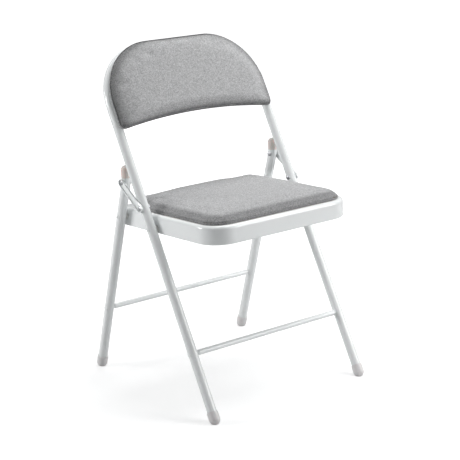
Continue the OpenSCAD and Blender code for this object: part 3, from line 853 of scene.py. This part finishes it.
class CHAIR_OT_make_back_pad(bpy.types.Operator):
    """Make the backrest: its pad, the wrapped board and the piping between them"""

    bl_idname = "chair.make_back_pad"
    bl_label = "Make backrest"

    def execute(self, context):
        pads = context.scene.chair_pads
        low, high = local_box("backrest_cushion", BACK_FRAME)
        board_low, board_high = local_box("backrest_board", BACK_FRAME)

        def outline(inset):
            return back_outline(board_high.x, board_low.y - BACK_LOW_REACH,
                                board_high.y + BACK_TOP_REACH, BACK_CORNER_R, BACK_LOW_R,
                                BACK_RISE, inset)

        rim = high.z - pads.back_crown
        depth = rim - low.z
        section = [(2.0 * MM, low.z), (0.8 * MM, low.z + 0.06 * depth),
                   (0.5 * MM, low.z + 0.14 * depth), (1.2 * MM, low.z + 0.26 * depth),
                   (3.0 * MM, low.z + 0.40 * depth), (6.2 * MM, low.z + 0.54 * depth),
                   (10.8 * MM, low.z + 0.68 * depth), (17 * MM, low.z + 0.81 * depth),
                   (25 * MM, low.z + 0.91 * depth), (36 * MM, low.z + 0.98 * depth),
                   (46 * MM, rim)]
        pad = make_pad("back_pad", outline, section, BACK_SWELL, pads.back_crown, 0.3)
        settle(pad, BACK_FRAME)
        # painted shade on the back pad's sides, fading out across its depth
        fabric = fabric_material("Back fabric", BACK_FRAME, low.z + BACK_PAINTED_SHADE_LOW * depth,
                                 low.z + BACK_PAINTED_SHADE_HIGH * depth, BACK_PAINTED_SHADE)
        dress(pad, fabric, "back_frame")
        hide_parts("backrest_cushion")

        thick = board_high.z - board_low.z
        wrap = loft("back_wrap", outline, [
            (3.2 * MM, board_low.z), (1.2 * MM, board_low.z + 0.10 * thick),
            (0.2 * MM, board_low.z + 0.32 * thick), (0.0, board_low.z + 0.5 * thick),
            (0.1 * MM, board_low.z + 0.72 * thick), (0.9 * MM, board_low.z + 0.90 * thick),
            (2.4 * MM, board_high.z)])
        settle(wrap, BACK_FRAME)
        # painted shade on the wrapped board, darker toward its rear face
        cover = fabric_material("Wrap fabric", BACK_FRAME, board_low.z, board_high.z, WRAP_PAINTED_SHADE)
        dress(wrap, cover, "back_frame")
        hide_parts("backrest_board")

        piping = ring_tube("back_piping", outline, 1.3 * MM, board_high.z + 0.1 * MM, pads.piping)
        settle(piping, BACK_FRAME)
        dress(piping, fabric, "back_frame")
        return {"FINISHED"}


# ---- Studio ----

FLOOR_REACH = 8.0  # from the chair to each edge of the floor
FLOOR_SHADES = ((0.61, 0.61, 0.61, 1), (0.63, 0.63, 0.63, 1))
GLOW_START = 0.5  # the floor's own light grows between these distances from the chair
GLOW_END = 2.4
GLOW_NEAR = 0.56  # its strength before the first and past the second
GLOW_FAR = 1.0
GLOW_IN_GLOSS = 0.2  # share of that light that reflections see

DIM_SIDE = (-0.6, -0.75, 0.28)  # the surroundings are dimmer on this side
AMBIENT = 0.20  # light of the surroundings on matt surfaces

TARGET = (0, 0, 0.4)  # what the lamps face
# name, place, width, height, power in watts
LAMPS = (
    ("left_softbox", (-2.26, 1.42, 1.05), 1.2, 0.7, 36),
    ("right_softbox", (1.65, -2.15, 1.22), 1.0, 1.4, 33),
    ("top_softbox", (0.9, 0.1, 2.8), 1.8, 1.8, 54),
    ("rear_softbox", (1.2, 2.4, 1.9), 1.6, 1.6, 5),
)

CAMERA_PLACE = (-2.021, -2.509, 1.318)
CAMERA_AZIMUTH = math.radians(-38.9)  # off the chair's front, to its left
CAMERA_DOWN = math.radians(16.66)
CAMERA_ROLL = math.radians(-0.13)
SENSOR_WIDTH = 36


def lamp(name, place, width, height, power):
    """Softbox at a place, facing the chair."""
    data = bpy.data.lights.new(name, "AREA")
    data.shape = "RECTANGLE"
    data.size = width
    data.size_y = height
    data.energy = power * bpy.context.scene.chair_studio.lamp_level
    softbox = bpy.data.objects.new(name, data)
    bpy.context.scene.collection.objects.link(softbox)
    aim = Vector(TARGET) - Vector(place)
    softbox.matrix_world = (Matrix.Translation(place)
                            @ aim.to_track_quat("-Z", "Y").to_matrix().to_4x4())


def floor_material():
    """Pale matt floor that takes shadows, with a light of its own that brings it to white."""
    material = bpy.data.materials.new("Pale floor")
    material.use_nodes = True
    tree = material.node_tree
    tree.nodes.clear()
    place = tree.nodes.new("ShaderNodeTexCoord").outputs["Object"]
    matt = tree.nodes.new("ShaderNodeBsdfDiffuse")
    shade = add(tree, "ShaderNodeMix", data_type="RGBA")
    shade.inputs[6].default_value = FLOOR_SHADES[0]
    shade.inputs[7].default_value = FLOOR_SHADES[1]
    join(tree, noise(tree, place, 40.0), shade.inputs[0])
    join(tree, shade.outputs[2], matt.inputs["Color"])
    glow = add(tree, "ShaderNodeEmission", Color=(1, 1, 1, 1))
    path = tree.nodes.new("ShaderNodeLightPath")
    seen = maths(tree, "ADD", path.outputs["Is Camera Ray"],
                 maths(tree, "MULTIPLY", path.outputs["Is Glossy Ray"], GLOW_IN_GLOSS))
    # the glow grows away from the chair, where the lamps no longer reach
    reach = add(tree, "ShaderNodeVectorMath", operation="LENGTH")
    join(tree, place, reach.inputs[0])
    level = add(tree, "ShaderNodeMapRange", interpolation_type="SMOOTHSTEP",
                From_Min=GLOW_START, From_Max=GLOW_END, To_Min=GLOW_NEAR, To_Max=GLOW_FAR)
    join(tree, reach.outputs["Value"], level.inputs["Value"])
    join(tree, maths(tree, "MULTIPLY", seen, level.outputs[0]), glow.inputs["Strength"])
    both = tree.nodes.new("ShaderNodeAddShader")
    join(tree, matt.outputs[0], both.inputs[0])
    join(tree, glow.outputs[0], both.inputs[1])
    out = tree.nodes.new("ShaderNodeOutputMaterial")
    join(tree, both.outputs[0], out.inputs["Surface"])
    return material


def studio_world():
    """Surroundings that show as white; they light and reflect less on the dim side."""
    world = bpy.data.worlds.new("Studio")
    bpy.context.scene.world = world
    world.use_nodes = True
    tree = world.node_tree
    tree.nodes.clear()
    ray = tree.nodes.new("ShaderNodeTexCoord").outputs["Generated"]
    toward = add(tree, "ShaderNodeVectorMath", operation="DOT_PRODUCT")
    join(tree, ray, toward.inputs[0])
    toward.inputs[1].default_value = DIM_SIDE
    dim = add(tree, "ShaderNodeMapRange", interpolation_type="SMOOTHSTEP", From_Min=0.35,
              From_Max=0.95, To_Min=1.0, To_Max=0.75)
    join(tree, toward.outputs["Value"], dim.inputs["Value"])
    soft = add(tree, "ShaderNodeBackground", Color=(0.95, 0.98, 1.0, 1))
    join(tree, maths(tree, "MULTIPLY", dim.outputs[0], AMBIENT), soft.inputs["Strength"])
    # reflections darken toward the horizon, which draws the edges of the tubes
    height = tree.nodes.new("ShaderNodeSeparateXYZ")
    join(tree, ray, height.inputs[0])
    rise = add(tree, "ShaderNodeMapRange", interpolation_type="SMOOTHSTEP", From_Min=0.1,
               From_Max=0.7, To_Min=0.5, To_Max=1.0)
    join(tree, height.outputs[2], rise.inputs["Value"])
    gloss = add(tree, "ShaderNodeBackground", Color=(1, 1, 1, 1))
    join(tree, maths(tree, "MULTIPLY", dim.outputs[0], rise.outputs[0]),
         gloss.inputs["Strength"])
    white = add(tree, "ShaderNodeBackground", Color=(1, 1, 1, 1), Strength=1.0)
    path = tree.nodes.new("ShaderNodeLightPath")
    first = tree.nodes.new("ShaderNodeMixShader")
    join(tree, path.outputs["Is Glossy Ray"], first.inputs[0])
    join(tree, soft.outputs[0], first.inputs[1])
    join(tree, gloss.outputs[0], first.inputs[2])
    through = maths(tree, "MAXIMUM", path.outputs["Is Camera Ray"],
                    path.outputs["Is Transmission Ray"])
    second = tree.nodes.new("ShaderNodeMixShader")
    join(tree, through, second.inputs[0])
    join(tree, first.outputs[0], second.inputs[1])
    join(tree, white.outputs[0], second.inputs[2])
    out = tree.nodes.new("ShaderNodeOutputWorld")
    join(tree, second.outputs[0], out.inputs["Surface"])


class CHAIR_OT_make_stage(bpy.types.Operator):
    """Make the floor, the lights and the camera"""

    bl_idname = "chair.make_stage"
    bl_label = "Make stage"

    def execute(self, context):
        scene = context.scene
        far = FLOOR_REACH
        mesh = bpy.data.meshes.new("floor")
        mesh.from_pydata([(-far, -far, 0), (far, -far, 0), (far, far, 0), (-far, far, 0)], [],
                         [(0, 1, 2, 3)])
        floor = bpy.data.objects.new("floor", mesh)
        scene.collection.objects.link(floor)
        mesh.materials.append(floor_material())

        studio_world()
        for name, place, width, height, power in LAMPS:
            lamp(name, place, width, height, power)

        forward = Vector((-math.sin(CAMERA_AZIMUTH) * math.cos(CAMERA_DOWN),
                          math.cos(CAMERA_AZIMUTH) * math.cos(CAMERA_DOWN),
                          -math.sin(CAMERA_DOWN)))
        data = bpy.data.cameras.new("camera")
        data.lens = scene.chair_studio.lens
        data.sensor_width = SENSOR_WIDTH
        camera = bpy.data.objects.new("camera", data)
        scene.collection.objects.link(camera)
        camera.matrix_world = (Matrix.Translation(CAMERA_PLACE)
                               @ forward.to_track_quat("-Z", "Y").to_matrix().to_4x4()
                               @ Matrix.Rotation(CAMERA_ROLL, 4, "Z"))
        scene.camera = camera
        scene.view_settings.view_transform = "Standard"
        return {"FINISHED"}


# ---- Panel and registration ----

STEPS = (CHAIR_OT_paint_steel, CHAIR_OT_finish_fasteners, CHAIR_OT_finish_mouldings,
         CHAIR_OT_finish_seat_board, CHAIR_OT_make_seat_pad, CHAIR_OT_make_back_pad,
         CHAIR_OT_make_stage)
SETTINGS = (("chair_fabric", FabricSettings), ("chair_paint", PaintSettings),
            ("chair_pads", PadSettings), ("chair_studio", StudioSettings))


class CHAIR_PT_panel(bpy.types.Panel):
    """Lists the steps and the settings"""

    bl_idname = "CHAIR_PT_panel"
    bl_label = "Folding chair"
    bl_space_type = "VIEW_3D"
    bl_region_type = "UI"
    bl_category = "Chair"

    def draw(self, context):
        for step in STEPS:
            self.layout.operator(step.bl_idname)
        for name, group in SETTINGS:
            box = self.layout.box()
            box.label(text=group.__doc__)
            for label in group.__annotations__:
                box.prop(getattr(context.scene, name), label)


def register():
    """Add the settings, the operators and the panel to Blender."""
    for name, group in SETTINGS:
        bpy.utils.register_class(group)
        setattr(bpy.types.Scene, name, bpy.props.PointerProperty(type=group))
    for item in STEPS + (CHAIR_PT_panel,):
        bpy.utils.register_class(item)


def unregister():
    """Take them away again, last first."""
    for item in reversed(STEPS + (CHAIR_PT_panel,)):
        bpy.utils.unregister_class(item)
    for name, group in reversed(SETTINGS):
        delattr(bpy.types.Scene, name)
        bpy.utils.unregister_class(group)


def main():
    """Build the chair's looks and the studio."""
    register()
    bpy.ops.chair.make_stage()
    bpy.ops.chair.paint_steel()
    bpy.ops.chair.finish_fasteners()
    bpy.ops.chair.finish_mouldings()
    bpy.ops.chair.finish_seat_board()
    bpy.ops.chair.make_seat_pad()
    bpy.ops.chair.make_back_pad()


if __name__ == "__main__":
    main()
